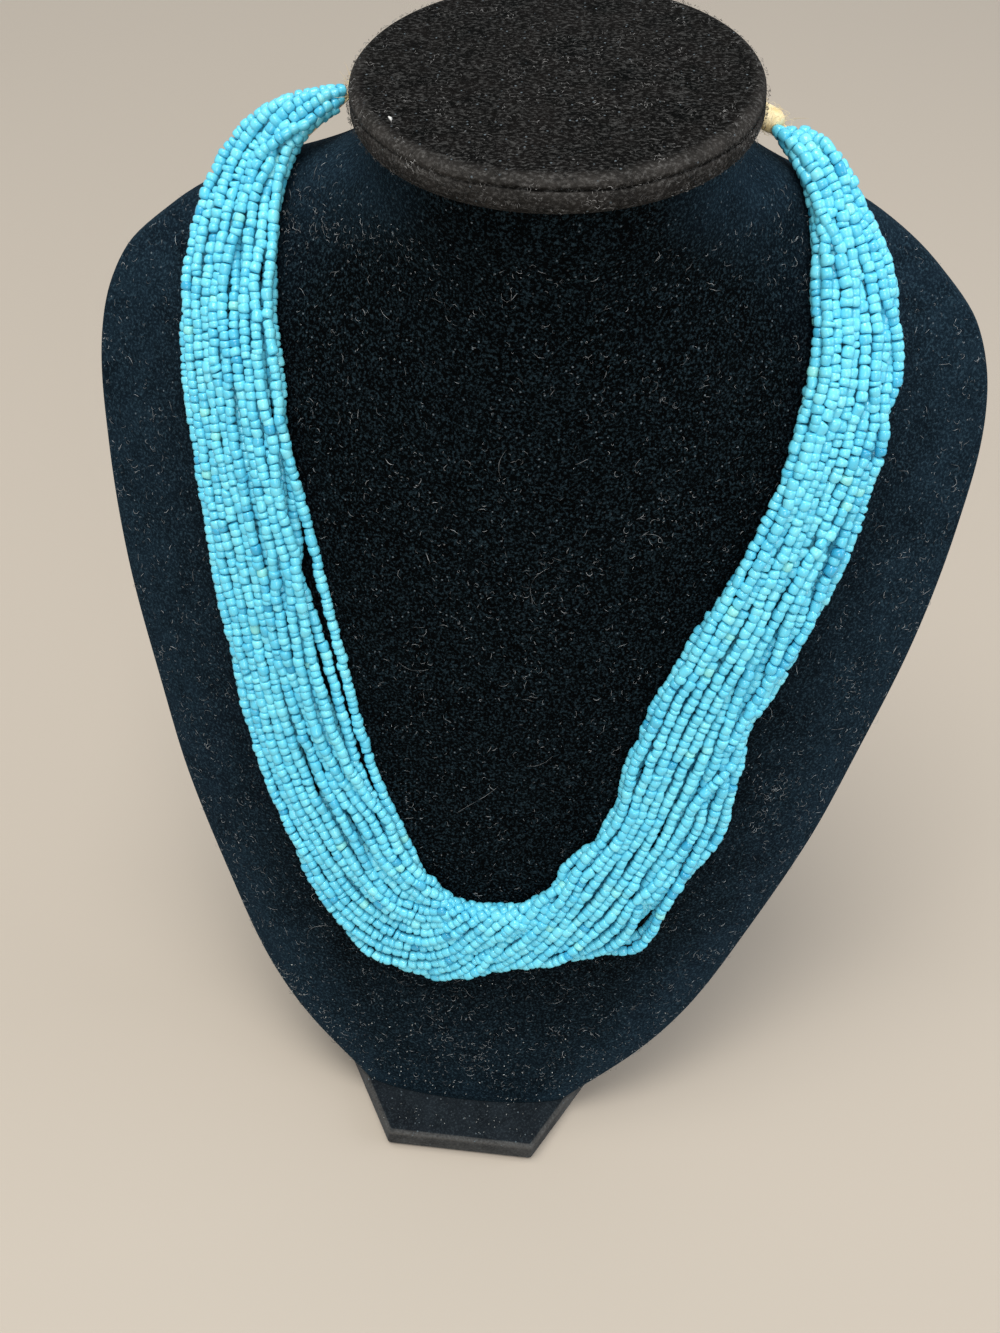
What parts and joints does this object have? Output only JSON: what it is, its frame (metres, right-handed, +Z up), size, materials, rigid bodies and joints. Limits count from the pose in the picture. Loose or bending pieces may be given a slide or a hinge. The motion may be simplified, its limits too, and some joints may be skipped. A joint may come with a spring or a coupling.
{
  "type": "multi strand necklace on neck bust",
  "caption": "Many strands of small seed beads gathered at both ends by thread wraps, laid on a dark velvet neck bust with a flat cap and base plate.",
  "frame": {"origin": "bottom centre of the bounding box, on the table", "axes": "+Z up, the front of the chest faces -Y, +X to the right as seen from the front"},
  "size_m": [0.2128, 0.146, 0.284],
  "materials": {
    "velvet_plate": "short black velvet glued over a flat board",
    "velvet_body": "short black velvet with white lint",
    "velvet_cap": "short black velvet with brushed nap",
    "seed_beads": "opaque glossy turquoise glass",
    "cotton_wrap": "cream cotton thread, wound",
    "cotton_cord": "cream cotton cord, twisted",
    "clasp_metal": "plain yellow metal"
  },
  "bodies": {
    "root": {"base_plate": "velvet_plate", "bust_form": "velvet_body", "neck_cap": "velvet_cap", "bead_bundle": "seed_beads", "stray_strand": "seed_beads", "thread_wrap_left": "cotton_wrap", "thread_wrap_right": "cotton_wrap", "neck_cord_left": "cotton_cord", "neck_cord_right": "cotton_cord", "clasp": "clasp_metal"}
  },
  "joints": []
}
